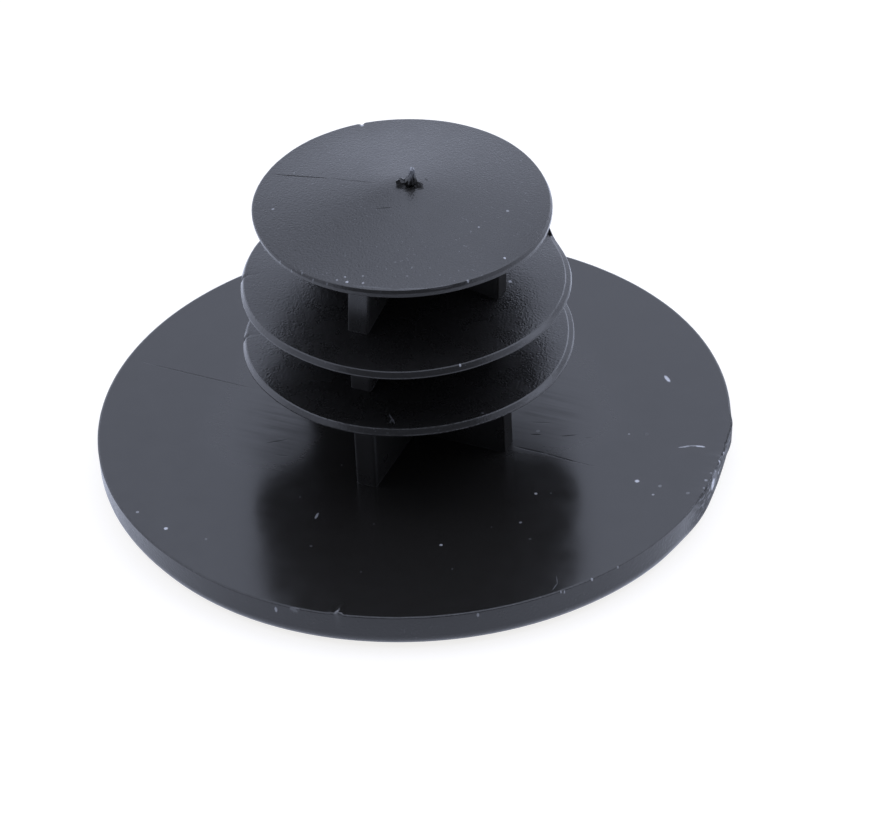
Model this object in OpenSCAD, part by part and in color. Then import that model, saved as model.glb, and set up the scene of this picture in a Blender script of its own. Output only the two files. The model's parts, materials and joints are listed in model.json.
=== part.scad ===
// Push-in end cap for a round tube such as a handlebar, moulded in one piece.
// A flange covers the tube's end. Behind it stands a stem of crossed ribs, and conical
// fins on the stem bend inwards as they go in and then grip the bore.
// The flange's outer face lies on the XY plane, and +Z points into the tube.

/* [Flange] */
// Diameter of the flange that covers the tube's end
flange_d = 38; // [30:0.5:46]
// Thickness of the flange
flange_t = 2.2; // [1.6:0.1:4]
// Radius round the edge of the flange's outer face
outer_edge_r = 0.8; // [0.2:0.05:0.8]
// Radius round the edge of the face that seats on the tube
seat_edge_r = 0.1; // [0.05:0.05:0.6]

/* [Stem] */
// Width across the crossed ribs, from tip to tip
cross_d = 12.9; // [9:0.1:15]
// Thickness of each rib
rib_t = 1.3; // [1:0.1:2.4]
// Radius on the upright edges of a rib's tip
rib_edge_r = 0.15; // [0.05:0.05:0.4]
// Radius in the corners where the ribs cross
cross_corner_r = 0.4; // [0.1:0.1:1]

/* [Fins] */
// Diameter of the lower and middle fins, which grip the bore
grip_fin_d = 19.6; // [17:0.1:24]
// Diameter of the top fin, which leads the way into the bore
lead_fin_d = 17.7; // [16:0.1:22]
// Height of the lower fin's upper edge above the seating face
lower_fin_z = 6.5; // [5:0.1:8]
// Height of the middle fin's upper edge above the seating face
middle_fin_z = 10.65; // [9.5:0.05:13]
// Height of the top fin's upper edge above the seating face
lead_fin_z = 15.9; // [14.5:0.1:20]
// Slope of a fin's upper face, in degrees
fin_slope = 10; // [4:1:16]
// Thickness of a fin on the axis
fin_root_t = 0.9; // [0.6:0.1:1.4]

/* [Rims of the fins] */
// Width of the bevel round the upper edge of a gripping fin
grip_bevel_w = 0.35; // [0.1:0.05:0.8]
// Drop of that bevel from the fin's upper edge to its land
grip_bevel_h = 0.2; // [0.05:0.05:0.5]
// Height of the land of a gripping fin, which rubs on the bore
grip_land_h = 0.15; // [0.1:0.05:0.5]
// Width of the bevel round the upper edge of the top fin
lead_bevel_w = 0.1; // [0.05:0.05:0.4]
// Drop of that bevel from the top fin's upper edge to its land
lead_bevel_h = 0.15; // [0.05:0.05:0.4]
// Height of the upright land round the top fin
lead_land_h = 0.35; // [0.1:0.05:0.5]

/* [Gate stub] */
// Diameter of the raised foot round the broken gate
gate_foot_d = 1.5; // [1:0.1:2.6]
// Height of the foot above the top of the cone
gate_foot_h = 0.12; // [0.05:0.01:0.4]
// Diameter of the stub where it leaves the foot
gate_d = 0.8; // [0.5:0.1:1.4]
// Diameter of the stub where it broke off
gate_tip_d = 0.35; // [0.2:0.05:0.6]
// Height of the stub above the top of the cone
gate_h = 1.15; // [0.6:0.05:2.5]

/* [Hidden] */

$fn = 128;
plastic_colour = "#26272c";

flange_r = flange_d / 2;
cross_r = cross_d / 2;
lead_edge_r = lead_fin_d / 2 - lead_bevel_w;
lead_edge_z = flange_t + lead_fin_z;
lead_rise = rise(lead_edge_r);
cone_top_z = lead_edge_z + lead_rise;

// The stem runs up into the middle of the top fin and down to the middle of the flange
stem_foot_z = flange_t / 2;
stem_cut_depth = fin_root_t / 3;
gate_sink = fin_root_t / 2;

// Rise of a fin's upper face from its edge, at a radius, to the axis
function rise(edge_r) = edge_r * tan(fin_slope);

// Half section of the flange, with both edges rounded
module flange_section() {
    translate([0, outer_edge_r])
        square([flange_r, flange_t - outer_edge_r - seat_edge_r]);
    square([flange_r - outer_edge_r, flange_t / 2]);
    translate([0, flange_t / 2])
        square([flange_r - seat_edge_r, flange_t / 2]);
    translate([flange_r - outer_edge_r, outer_edge_r])
        circle(r = outer_edge_r);
    translate([flange_r - seat_edge_r, flange_t - seat_edge_r])
        circle(r = seat_edge_r);
}

// Half section of a fin: cone, bevel, land and a flatter cone below, thinner at the rim
module fin_section(d, bevel_w, bevel_h, land_h) {
    edge_r = d / 2 - bevel_w;
    polygon([
        [0, rise(edge_r)],
        [edge_r, 0],
        [d / 2, -bevel_h],
        [d / 2, -bevel_h - land_h],
        [0, rise(edge_r) - fin_root_t]
    ]);
}

// A fin that grips the bore, with its upper edge at a height above the seating face
module grip_fin(edge_z) {
    translate([0, 0, flange_t + edge_z])
        rotate_extrude()
            fin_section(grip_fin_d, grip_bevel_w, grip_bevel_h, grip_land_h);
}

// The smaller top fin, which leads the way in
module lead_fin() {
    translate([0, 0, lead_edge_z])
        rotate_extrude()
            fin_section(lead_fin_d, lead_bevel_w, lead_bevel_h, lead_land_h);
}

// Plan of one rib that runs through the axis, with its tips' edges rounded
module rib_plan() {
    square([cross_d - 2 * rib_edge_r, rib_t], center = true);
    square([cross_d, rib_t - 2 * rib_edge_r], center = true);
    for (x = [-1, 1], y = [-1, 1])
        translate([x * (cross_r - rib_edge_r), y * (rib_t / 2 - rib_edge_r)])
            circle(r = rib_edge_r);
}

// Plan of the fillet in one corner between two ribs
module corner_plan() {
    reach = rib_t / 2 + cross_corner_r;
    difference() {
        square(reach);
        translate([reach, reach])
            circle(r = cross_corner_r);
    }
}

// Plan of the crossed ribs
module cross_plan() {
    for (turn = [0, 90])
        rotate(turn)
            rib_plan();
    for (turn = [0, 90, 180, 270])
        rotate(turn)
            corner_plan();
}

// Space that the stem may fill, up to a cone inside the top fin
module stem_space() {
    cut_top_z = cone_top_z - stem_cut_depth;
    rotate_extrude()
        polygon([
            [0, 0],
            [lead_edge_r, 0],
            [lead_edge_r, cut_top_z - lead_rise],
            [0, cut_top_z]
        ]);
}

module flange() {
    rotate_extrude()
        flange_section();
}

module stem() {
    intersection() {
        translate([0, 0, stem_foot_z])
            linear_extrude(cone_top_z - stem_foot_z)
                cross_plan();
        stem_space();
    }
}

// What is left of the gate that the plastic came in through
module gate_stub() {
    translate([0, 0, cone_top_z - gate_sink]) {
        cylinder(h = gate_sink + gate_foot_h, d = gate_foot_d);
        cylinder(h = gate_sink + gate_h, d1 = gate_d, d2 = gate_tip_d);
    }
}

module end_cap() {
    color(plastic_colour)
        union() {
            flange();
            stem();
            grip_fin(lower_fin_z);
            grip_fin(middle_fin_z);
            lead_fin();
            gate_stub();
        }
}

end_cap();
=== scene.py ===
"""Looks of a push-in handlebar end cap: one black moulding with its torn gate, a pale stage and a camera."""

import json
import math
from typing import NamedTuple

import bmesh
import bpy
from mathutils import Matrix, Vector, noise
from mathutils.bvhtree import BVHTree


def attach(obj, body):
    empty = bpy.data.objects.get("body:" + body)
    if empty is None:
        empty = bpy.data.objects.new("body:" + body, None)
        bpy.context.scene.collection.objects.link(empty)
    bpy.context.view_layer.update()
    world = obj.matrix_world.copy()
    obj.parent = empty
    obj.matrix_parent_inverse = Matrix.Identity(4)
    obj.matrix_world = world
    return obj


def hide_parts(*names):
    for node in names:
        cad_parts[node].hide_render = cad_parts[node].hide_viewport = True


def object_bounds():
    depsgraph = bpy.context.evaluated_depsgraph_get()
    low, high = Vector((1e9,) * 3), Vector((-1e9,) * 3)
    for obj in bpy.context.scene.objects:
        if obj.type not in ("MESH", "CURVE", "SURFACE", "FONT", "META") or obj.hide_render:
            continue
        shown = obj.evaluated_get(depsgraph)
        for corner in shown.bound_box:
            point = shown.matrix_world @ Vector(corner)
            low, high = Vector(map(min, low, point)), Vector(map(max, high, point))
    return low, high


bl_info = {
    "name": "Handlebar End Cap",
    "version": (1, 0, 0),
    "blender": (4, 5, 0),
    "location": "View3D > Sidebar > End Cap",
    "description": "Models and finishes a moulded push-in end cap for a round tube",
    "category": "Object",
}

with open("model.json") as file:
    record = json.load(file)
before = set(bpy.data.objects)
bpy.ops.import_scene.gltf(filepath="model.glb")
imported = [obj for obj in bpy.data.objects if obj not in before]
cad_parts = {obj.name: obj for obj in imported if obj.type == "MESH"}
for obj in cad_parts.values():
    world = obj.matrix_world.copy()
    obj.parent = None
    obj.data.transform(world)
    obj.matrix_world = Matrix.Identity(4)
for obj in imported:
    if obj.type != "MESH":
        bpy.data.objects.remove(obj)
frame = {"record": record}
cad_low, cad_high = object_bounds()

MM = 0.001
NODE = "end_cap"
BODY = "root"
SPIGOT = next(m for m in frame["record"]["mounts"] if m["name"] == "spigot")

# Size of the photo in pixels, for places that are named by a pixel in it
PHOTO_WIDTH, PHOTO_HEIGHT = 891, 824

# Room between the ribs' tips and the first round ring outside them
WAIST_GAP = 0.25 * MM

# Slack for comparing heights that are worked out in different ways
SLACK = 1e-7

# Finishes of the moulding's faces, in the order of its material slots; TIP_SHADE is painted shade on the
# right rib's tip
FLANGE, RIM, STEM, FIN, EDGE, TOP, TIP_SHADE = range(7)


def length(label, millimetres, text):
    """A size property, given in millimetres and held in metres."""
    return bpy.props.FloatProperty(
        name=label, description=text, default=millimetres * MM, precision=6,
        subtype="DISTANCE", unit="LENGTH")


def degrees(label, value, text):
    """An angle property, given in degrees and held in radians."""
    return bpy.props.FloatProperty(
        name=label, description=text, default=math.radians(value), subtype="ANGLE", unit="ROTATION")


def share(label, value, text, top=1.0):
    """A plain number from nought to top."""
    return bpy.props.FloatProperty(name=label, description=text, default=value, min=0.0, max=top)


def colour(label, rgb, text):
    """A colour property without alpha."""
    return bpy.props.FloatVectorProperty(
        name=label, description=text, default=rgb, size=3, min=0.0, max=1.0, subtype="COLOR")


class EndCapSizes(bpy.types.PropertyGroup):
    """Sizes of the moulding: those of the solid part, and of the finer forms that the real cap shows."""

    flange_d: length("Flange diameter", (cad_high.x - cad_low.x) / MM, "Across the flange")
    flange_t: length("Flange thickness", 2.2, "From the outer face to the seating face")
    outer_edge_r: length("Outer edge radius", 0.8, "Round the outer face")
    seat_bevel_w: length("Seat bevel width", 0.11, "Fine bevel round the seating face")
    seat_bevel_h: length("Seat bevel drop", 0.045, "Drop of that bevel")
    cross_d: length("Cross width", 12.9, "Across the crossed ribs, tip to tip")
    rib_t: length("Rib thickness", 1.3, "Thickness of each rib")
    rib_edge_r: length("Rib edge radius", 0.12, "On the upright edges of a rib's tip")
    cross_corner_r: length("Cross corner radius", 0.4, "In the corners between ribs")
    root_r: length("Root radius", 0.008, "Where the ribs run into the flange and the fins")
    stem_x: length("Stem place X", -0.1, "How far the ribs sit off the flange's middle")
    stem_y: length("Stem place Y", -0.33, "How far the ribs sit off the flange's middle")
    grip_fin_d: length("Grip fin diameter", 2 * SPIGOT["dims"]["r_mm"], "Across the lower and middle fins")
    crest_w: length("Crest width", 0.07, "Narrow facet between a gripping fin's upper face and its bevel")
    crest_h: length("Crest drop", 0.042, "Drop of that facet")
    grip_bevel_w: length("Grip bevel width", 0.14, "Bevel round a gripping fin's upper edge")
    grip_bevel_h: length("Grip bevel drop", 0.29, "Drop of that bevel")
    grip_land_h: length("Grip land", 0.13, "Land that rubs on the bore")
    worn_bevel_w: length("Worn bevel width", 0.34, "That bevel on the side where it is worn")
    worn_bevel_h: length("Worn bevel drop", 0.05, "Drop of the worn bevel")
    worn_tilt: length("Worn land tilt", 0.06, "How far the worn land leans inwards")
    worn_land_h: length("Worn land", 0.2, "Land on the worn side")
    worn_round: length("Worn edge round", 0.09, "Round on the worn outer edge")
    lead_fin_d: length("Lead fin diameter", 17.7, "Across the top fin")
    lead_crest_w: length("Lead crest width", 0.06, "Narrow facet at the top fin's upper edge")
    lead_crest_h: length("Lead crest drop", 0.022, "Drop of that facet")
    lead_bevel_w: length("Lead bevel width", 0.1, "Bevel round the top fin's upper edge")
    lead_bevel_h: length("Lead bevel drop", 0.19, "Drop of that bevel")
    lead_land_h: length("Lead land", 0.28, "Upright land round the top fin")
    thin_bevel: length("Thin bevel", 0.04, "Bevel of the top fin where its rim is thinnest")
    thin_land_h: length("Thin land", 0.2, "Land of the top fin where its rim is thinnest")
    lower_fin_z: length("Lower fin height", 6.5, "Upper edge above the seating face")
    middle_fin_z: length("Middle fin height", 10.65, "Upper edge above the seating face")
    lead_fin_z: length("Lead fin height", 15.9, "Upper edge above the seating face")
    fin_slope: degrees("Fin slope", 10.0, "Slope of a fin's upper face")
    fin_root_t: length("Fin root thickness", 0.9, "Thickness of a fin on the axis")
    edge_round: length("Edge round", 0.05, "Small round on a fin's edges")
    gate_x: length("Gate place X", 0.42, "How far the torn gate sits off the axis")
    gate_y: length("Gate place Y", 0.12, "How far the torn gate sits off the axis")


class EndCapFinish(bpy.types.PropertyGroup):
    """Colours and gloss of the plastic."""

    plastic: colour("Plastic", (0.014, 0.0131, 0.0119), "Body colour of the smooth black plastic")
    textured: colour("Textured plastic", (0.0185, 0.0176, 0.0165), "Body colour of the textured top fin")
    rubbed: colour("Rubbed plastic", (0.03, 0.0287, 0.0272), "Body colour of the fins' rims, rubbed paler")
    # Painted shade: the two lower fins get a darker colour than the top fin, standing in for the shade under
    # the fins above
    painted_shade_fins: colour("Sheltered plastic", (0.0125, 0.0119, 0.0112), "Body colour of the two lower fins")
    # Painted light: the ribs' colour is raised above the plain plastic's, standing in for the stray light in
    # the shaded gaps between the fins
    painted_light_ribs: colour("Shaded plastic", (0.02, 0.019, 0.0178), "Body colour of the ribs between the fins")
    # Painted highlight: the pale colour that the gate's spike turns towards its tip
    torn: colour("Torn plastic", (0.16, 0.165, 0.18), "Colour of plastic that was stretched until it tore")
    # Also the colour of the painted highlight along the top fin's front edge
    dust: colour("Dust", (0.6, 0.61, 0.64), "Colour of dust and scuffed plastic")
    ior: share("Index of refraction", 1.55, "Strength of the plastic's reflections", 3.0)
    stem_ior: share("Stem index", 1.58, "Strength of the ribs' reflections", 3.0)
    # Painted shade: weaker reflections for the right rib's tip, to darken it
    tip_shade_ior: share("Dull index", 1.12, "Strength of the reflections of the rib's tip that looks dull", 3.0)
    flange_roughness: share("Flange roughness", 0.19, "Roughness of the polished flange")
    rim_roughness: share("Rim roughness", 0.24, "Roughness of the flange's rim")
    fin_roughness: share("Fin roughness", 0.28, "Roughness of the spark-textured fins")
    stem_roughness: share("Stem roughness", 0.3, "Roughness of the ribs")
    spark_depth: length("Spark texture depth", 0.014, "Depth of the mould's spark texture on the top fin")
    fin_spark_depth: length("Fin texture depth", 0.011, "Depth of that texture on the fins below")
    seat_score: length("Seat line depth", 0.007, "Depth of the parting line on the flange")
    fin_score: length("Fin line depth", 0.03, "Depth of the parting line on the top fin")


class EndCapStage(bpy.types.PropertyGroup):
    """Camera and light."""

    azimuth: degrees("Azimuth", 25.0, "Camera's turn round the axis")
    elevation: degrees("Elevation", 36.7, "Camera's height above the horizon")
    roll: degrees("Roll", 2.88, "Camera's turn about its own axis")
    distance: length("Distance", 419.7, "Camera to the middle of the seating face")
    aim_right: length("Aim right", 1.91, "Camera's sideways offset")
    aim_up: length("Aim up", 0.54, "Camera's upward offset")
    lens: bpy.props.FloatProperty(
        name="Lens", description="Focal length in millimetres", default=282.8, min=1.0)
    sensor: bpy.props.FloatProperty(
        name="Sensor", description="Width of the sensor in millimetres", default=36.0, min=1.0)
    tint: colour("Tint", (0.75, 0.81, 1.0), "Colour of the soft light on the cap")
    sky: share("Sky", 0.91, "Strength of the soft light all round", 5.0)
    overhead: share("Overhead", 1.25, "Extra light from above the far side", 5.0)
    zenith: share("Zenith", 0.55, "Extra light from straight above", 5.0)
    side_lamps: share("Side lamps", 1.35, "Extra light from high up on both sides", 5.0)
    right_strip: share("Right strip", 1.6, "Extra light from low down at the far right", 5.0)
    left_strip: share("Left strip", 0.6, "Extra light from low down at the far left", 5.0)
    backdrop: share("Backdrop", 0.66, "Extra light from low down on the far side", 5.0)
    opening: share("Opening", 0.88, "How dark the tent's opening round the camera is")


def sizes():
    """Sizes that the scene holds."""
    return bpy.context.scene.end_cap_sizes


def finish():
    """Colours and gloss that the scene holds."""
    return bpy.context.scene.end_cap_finish


def stage():
    """Camera and light that the scene holds."""
    return bpy.context.scene.end_cap_stage


def half_turn(turn_deg):
    """The same direction between minus and plus half a turn."""
    return (turn_deg + 180.0) % 360.0 - 180.0


def bump(angle, middle_deg, width_deg):
    """A smooth hump of height one round a direction."""
    away = half_turn(math.degrees(angle) - middle_deg)
    return math.exp(-(away / width_deg) ** 2)


def humps(angle, table):
    """Sum of humps, each given as direction and width in degrees and height in millimetres, in metres."""
    return MM * sum(height * bump(angle, middle, width) for middle, width, height in table)


def ease(value, low, high):
    """Nought below low, one above high, and a smooth step between."""
    part = min(1.0, max(0.0, (value - low) / (high - low)))
    return part * part * (3.0 - 2.0 * part)


# Wear and warp of the moulding: direction in degrees, width in degrees, size in millimetres

FIN_DROOPS = {
    "lower": ((0.0, 25.0, -0.15), (-41.0, 20.0, 0.03), (-70.0, 45.0, 0.15), (-122.0, 18.0, 0.12)),
    "middle": (
        (0.0, 25.0, -0.08), (-35.0, 22.0, 0.13), (46.0, 16.0, -0.12), (-60.0, 20.0, 0.07),
        (-105.0, 32.0, 0.24)),
    "lead": ((-5.0, 26.0, -0.25), (-75.0, 35.0, 0.07), (150.0, 40.0, 0.1), (100.0, 40.0, 0.04)),
}
FIN_SHRINKS = {
    "lower": ((-155.0, 30.0, -0.07), (20.0, 25.0, -0.06)),
    "middle": ((45.0, 18.0, 0.18), (-155.0, 20.0, 0.02), (12.0, 16.0, -0.06), (-178.0, 13.0, -0.06)),
    "lead": ((45.0, 22.0, 0.09), (-138.0, 16.0, 0.06)),
}
FIN_NICKS = {
    "lower": ((-158.6, 0.8, 0.28),),
    "middle": ((-160.4, 0.8, 0.25),),
    "lead": ((129.5, 0.8, 0.2),),
}
FIN_SLIVERS = {"lower": (), "middle": ((52.5, 4.0, 0.55),), "lead": ()}
FLANGE_WEAR = (
    (52.0, 25.0, 0.05), (19.5, 2.2, 0.12), (6.0, 8.0, -0.1), (243.0, 18.0, -0.04), (170.0, 35.0, -0.04))
FLANGE_FOOT_WEAR = ((14.0, 8.0, -0.25), (4.0, 7.0, -0.1), (-10.0, 6.0, -0.1), (-130.0, 24.0, -0.18))
FLANGE_BURR = ((-79.7, 0.5, 0.26), (-80.9, 0.9, 0.06))
FLANGE_TAB = ((-79.7, 0.5, 0.14),)

# Middle and width of the side where each fin's rim is worn or thin, in degrees
WORN_SIDES = {"lower": (22.0, 42.0), "middle": (22.0, 42.0), "lead": (-152.0, 42.0)}

# Scuffed stretch of the flange's edge, and half the turn over which it sets in and ends
SCUFF_FROM_DEG, SCUFF_FROM_FADE_DEG = -4.0, 2.0
SCUFF_TO_DEG, SCUFF_TO_FADE_DEG = 14.0, 1.0

# Unevenness round a rim: grain of the noise, its seed or the seed's step, and its size in millimetres
CHIP_GRAIN, CHIP_SEED, CHIP_DEPTH = 60.0, 1.7, 0.12
DENT_GRAIN, DENT_SEED, DENT_DEPTH = 70.0, 5.2, 0.1
EDGE_GRAIN, EDGE_SEED, EDGE_WAVER = 50.0, 3.1, 0.006
RIM_GRAIN, RIM_SEEDS_PER_METRE, RIM_WAVER = 45.0, 900.0, 0.006
FIN_GRAIN, FIN_SEED_STEP, FIN_WAVER = 30.0, 0.05, 0.008
RIPPLE_GRAIN, RIPPLE_HEIGHT = 6.0, 0.015


def scuff(angle):
    """How scuffed the flange's edge is in a direction, from nought to one."""
    turn = half_turn(math.degrees(angle))
    begun = ease(turn, SCUFF_FROM_DEG - SCUFF_FROM_FADE_DEG, SCUFF_FROM_DEG + SCUFF_FROM_FADE_DEG)
    lasting = ease(-turn, -SCUFF_TO_DEG - SCUFF_TO_FADE_DEG, -SCUFF_TO_DEG + SCUFF_TO_FADE_DEG)
    return begun * lasting


def rim_noise(angle, grain, seed):
    """Even noise round a rim, from minus one to one."""
    return noise.noise(Vector((math.cos(angle) * grain, math.sin(angle) * grain, seed)))


# Shape of the moulding

# Rings of the flange and of the cone, as shares of their radius
OUTER_FACE_START = 0.5
WEAR_START = 0.9
SEAT_RINGS = (0.93, 0.75, 0.55)
CONE_RINGS = (0.6, 0.35, 0.15, 0.05)

# Extra rings: this far below the seat bevel on the flange's rim, and this far inside a fin's upper edge
RIM_BREAK = 0.4 * MM
FACE_BREAK = 0.35 * MM

# How far in from its edge a fin is nicked, and how wide the band is that lifts in a sliver
NICK_REACH = 0.3 * MM
SLIVER_BAND = 0.06 * MM

# Steps in the arcs of the flange, the fins and the ribs' roots
FLANGE_STEPS, FIN_STEPS, ROOT_STEPS = 4, 3, 3

# Rounds on fine edges and reach of the ring beside each, as shares of the edge round or the root's radius
BEVEL_FOOT_ROUND, BEVEL_TOP_ROUND, FLANGE_SUPPORT = 0.8, 0.6, 0.3
CREST_FOOT_ROUND, CREST_TOP_ROUND, FIN_SUPPORT = 0.5, 0.8, 0.2
ROOT_SUPPORT = 1.5

# Where the ribs' shift fades out: outwards from their tips, and up to the top fin's edge
SHIFT_FULL_OUT, SHIFT_NONE_OUT = 0.5 * MM, 2.0 * MM
SHIFT_FULL_DOWN, SHIFT_NONE_DOWN = 5.0 * MM, 0.2 * MM

# Directions of the columns in an eighth of a turn, closest at the upright edges of a rib's tip
OCTANT_DEG = (
    0.0, 1.5, 3.0, 4.2, 4.9, 5.3, 5.7, 6.1, 6.5, 7.2, 8.0, 9.0, 10.2, 11.6, 13.2, 15.0,
    17.0, 19.0, 21.0, 23.0, 25.0, 27.0, 29.0, 31.0, 33.0, 35.0, 37.5, 40.0, 42.5, 45.0)

# Stretches with more columns, for the burr, the scuff and the nicks: from, to and step, in degrees
FINE_COLUMNS = ((-81.5, -78.0, 0.25), (-6.0, 23.0, 0.5), (-162.5, -156.5, 0.4), (127.0, 132.0, 0.5))
LEAST_COLUMN_DEG = 0.12

# Edges that bend more than this are drawn sharp
MOULDING_SHARP_DEG, GATE_SHARP_DEG = 40.0, 20.0


def ray_to_circle(ray, centre, radius, far):
    """Distance from the origin along a ray to the near or far side of a circle, or None."""
    middle = ray.dot(centre)
    inside = middle ** 2 - centre.length_squared + radius ** 2
    if inside < 0:
        return None
    return middle + math.sqrt(inside) if far else middle - math.sqrt(inside)


def cross_radius(angle, grow=0.0):
    """Distance from the axis to the outline of the crossed ribs, grown outwards by an offset."""
    s = sizes()
    half_t, tip_r = s.rib_t / 2 + grow, s.cross_d / 2 + grow
    edge_r, corner_r = s.rib_edge_r + grow, s.cross_corner_r - grow
    turn = angle % (math.pi / 2)
    turn = min(turn, math.pi / 2 - turn)
    ray = Vector((math.cos(turn), math.sin(turn)))
    tip = tip_r / ray.x
    if tip * ray.y <= half_t - edge_r:
        return tip
    edge_centre = Vector((tip_r - edge_r, half_t - edge_r))
    edge = ray_to_circle(ray, edge_centre, edge_r, far=True)
    if edge is not None and edge * ray.x >= edge_centre.x:
        return edge
    side = half_t / ray.y
    corner_centre = Vector((half_t + corner_r, half_t + corner_r))
    if side * ray.x >= corner_centre.x:
        return side
    return ray_to_circle(ray, corner_centre, corner_r, far=False)


def rounded(points, radii, support, steps):
    """A half section's corner points with each corner turned into an arc, and a point beside each end."""
    path = [points[0]]
    for before, corner, after, radius in zip(points, points[1:], points[2:], radii):
        back, on = (before - corner).normalized(), (after - corner).normalized()
        opening = back.angle(on)
        reach = radius / math.tan(opening / 2)
        start, end = corner + back * reach, corner + on * reach
        centre = corner + (back + on).normalized() * (radius / math.sin(opening / 2))
        path.append(start + back * support)
        for step in range(steps + 1):
            chord = start.lerp(end, step / steps)
            path.append(centre + (chord - centre).normalized() * radius)
        path.append(end + on * support)
    return path + [points[-1]]


class Section:
    """Rings of the moulding, from the outer face to the top of the cone."""

    def __init__(self):
        self.rings = []

    def ring(self, radius, height, face):
        """A ring whose radius depends on the direction, and its height on direction and radius."""
        self.rings.append((radius, height, face))

    def circle(self, radius, height, face):
        """A plain round ring."""
        self.ring(lambda angle: radius, lambda angle, r: height, face)

    def cross(self, grow, height, face):
        """A ring that follows the crossed ribs, at a height worked out from its radius."""
        self.ring(lambda angle: cross_radius(angle, grow), lambda angle, r: height(r), face)


def add_flange(section):
    """Outer face, rim and seating face, in to the foot of the stem."""
    s = sizes()
    rim = s.flange_d / 2
    waist = s.cross_d / 2 + WAIST_GAP
    bevel_foot, bevel_top = s.flange_t - s.seat_bevel_h, rim - s.seat_bevel_w
    corners = [
        Vector((rim * OUTER_FACE_START, 0)), Vector((rim, 0)), Vector((rim, bevel_foot)),
        Vector((bevel_top, s.flange_t)), Vector((bevel_top - 3 * s.seat_bevel_w, s.flange_t))]
    radii = (s.outer_edge_r, BEVEL_FOOT_ROUND * s.edge_round, BEVEL_TOP_ROUND * s.edge_round)
    path = rounded(corners, radii, FLANGE_SUPPORT * s.edge_round, FLANGE_STEPS)
    # The path's start, the first arc's points and one beside each of its ends come before this one
    path.insert(1 + 1 + FLANGE_STEPS + 1 + 1, Vector((rim, bevel_foot - RIM_BREAK)))
    for point in path:
        on_edge = point.x > bevel_top - s.edge_round and point.y > bevel_foot - 2 * s.seat_bevel_h

        def radius(angle, base=point.x, low=1.0 - point.y / s.flange_t, edge=on_edge):
            out = ease(base, rim * WEAR_START, rim)
            grain = RIM_WAVER * MM * rim_noise(angle, RIM_GRAIN, base * RIM_SEEDS_PER_METRE)
            wear = humps(angle, FLANGE_WEAR) + low * humps(angle, FLANGE_FOOT_WEAR)
            rough = 0.0
            if edge:
                wear += humps(angle, FLANGE_TAB)
                rough = abs(rim_noise(angle, CHIP_GRAIN, CHIP_SEED)) * CHIP_DEPTH * MM * scuff(angle)
            limit = rim / max(abs(math.cos(angle)), abs(math.sin(angle)))
            return min(base + out * (wear + grain) - rough, limit)

        def height(angle, r, base=point.y, edge=on_edge):
            if not edge:
                return base
            lift = humps(angle, FLANGE_BURR) + EDGE_WAVER * MM * rim_noise(angle, EDGE_GRAIN, EDGE_SEED)
            dent = abs(rim_noise(angle, DENT_GRAIN, DENT_SEED)) * DENT_DEPTH * MM * scuff(angle)
            return base + lift - dent

        section.ring(radius, height, RIM if point.y < s.flange_t - SLACK else FLANGE)
    for part in SEAT_RINGS:
        section.circle(rim * part, s.flange_t, FLANGE)
    section.circle(waist, s.flange_t, FLANGE)


def add_root(section, face_height, face, rising):
    """Fillet between the ribs and a face: up off the face when rising, and up on to it when not."""
    s = sizes()
    beside = ROOT_SUPPORT * s.root_r
    turns = [step / ROOT_STEPS * math.pi / 2 for step in range(ROOT_STEPS + 1)]
    if rising:
        section.cross(beside, face_height, face)
        for turn in turns:
            lift = s.root_r * (1 - math.cos(turn))
            section.cross(s.root_r * (1 - math.sin(turn)), lambda r, up=lift: face_height(r) + up, STEM)
        section.cross(0.0, lambda r: face_height(r) + beside, STEM)
        return
    section.cross(0.0, lambda r: face_height(r) - beside, STEM)
    for turn in turns:
        drop = s.root_r * (1 - math.sin(turn))
        section.cross(s.root_r * (1 - math.cos(turn)), lambda r, down=drop: face_height(r) - down, STEM)
    section.cross(beside, face_height, face)


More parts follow.
